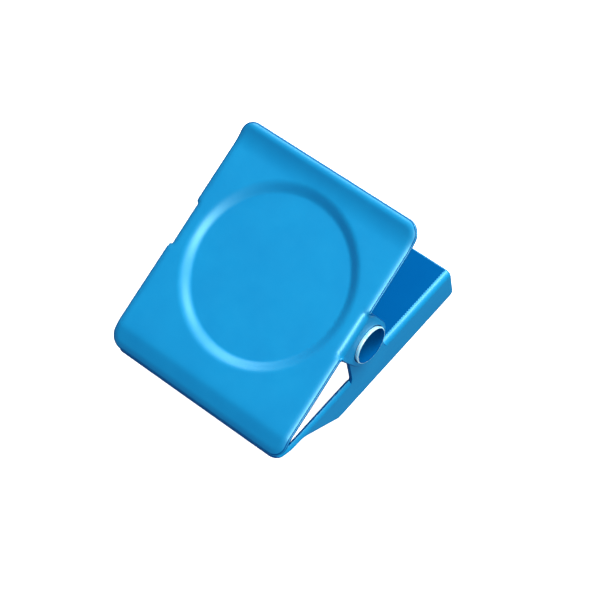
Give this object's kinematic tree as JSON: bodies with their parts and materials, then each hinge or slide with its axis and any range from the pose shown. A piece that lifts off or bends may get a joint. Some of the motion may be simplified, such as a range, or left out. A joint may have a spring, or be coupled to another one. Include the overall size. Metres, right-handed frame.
{
  "type": "spring clip clothespin",
  "caption": "Square pressed sheet-metal spring clip with a round recess in its front plate, side flanges, a hollow hinge tube, a torsion spring and a round magnet behind.",
  "frame": {"origin": "centre of the footprint, on the plane of the magnet's outer face, where the clip rests", "axes": "+X along the hinge, +Y from the jaw to the finger tabs, +Z from the magnet towards the front plate"},
  "size_m": [0.0308, 0.0366, 0.0242],
  "materials": {
    "blue_paint": "glossy blue paint on pressed steel",
    "spring_steel": "bright zinc-plated wire",
    "ferrite": "matt dark grey sintered ferrite",
    "adhesive": "cured clear epoxy"
  },
  "bodies": {
    "back": {"back_plate": "blue_paint", "hinge_tube": "blue_paint", "torsion_spring": "spring_steel", "magnet": "ferrite", "magnet_adhesive": "adhesive"},
    "front": {"front_plate": "blue_paint"}
  },
  "joints": [
    {"name": "jaw_hinge", "type": "hinge", "parent": "back", "child": "front", "pos_m": [0, 0.0006, 0.0112], "axis": [-1, 0, 0], "range_deg": [0, 36], "stiffness_Nm_per_rad": 0.12, "springref_deg": -45.84, "deforming": ["torsion_spring"]}
  ]
}
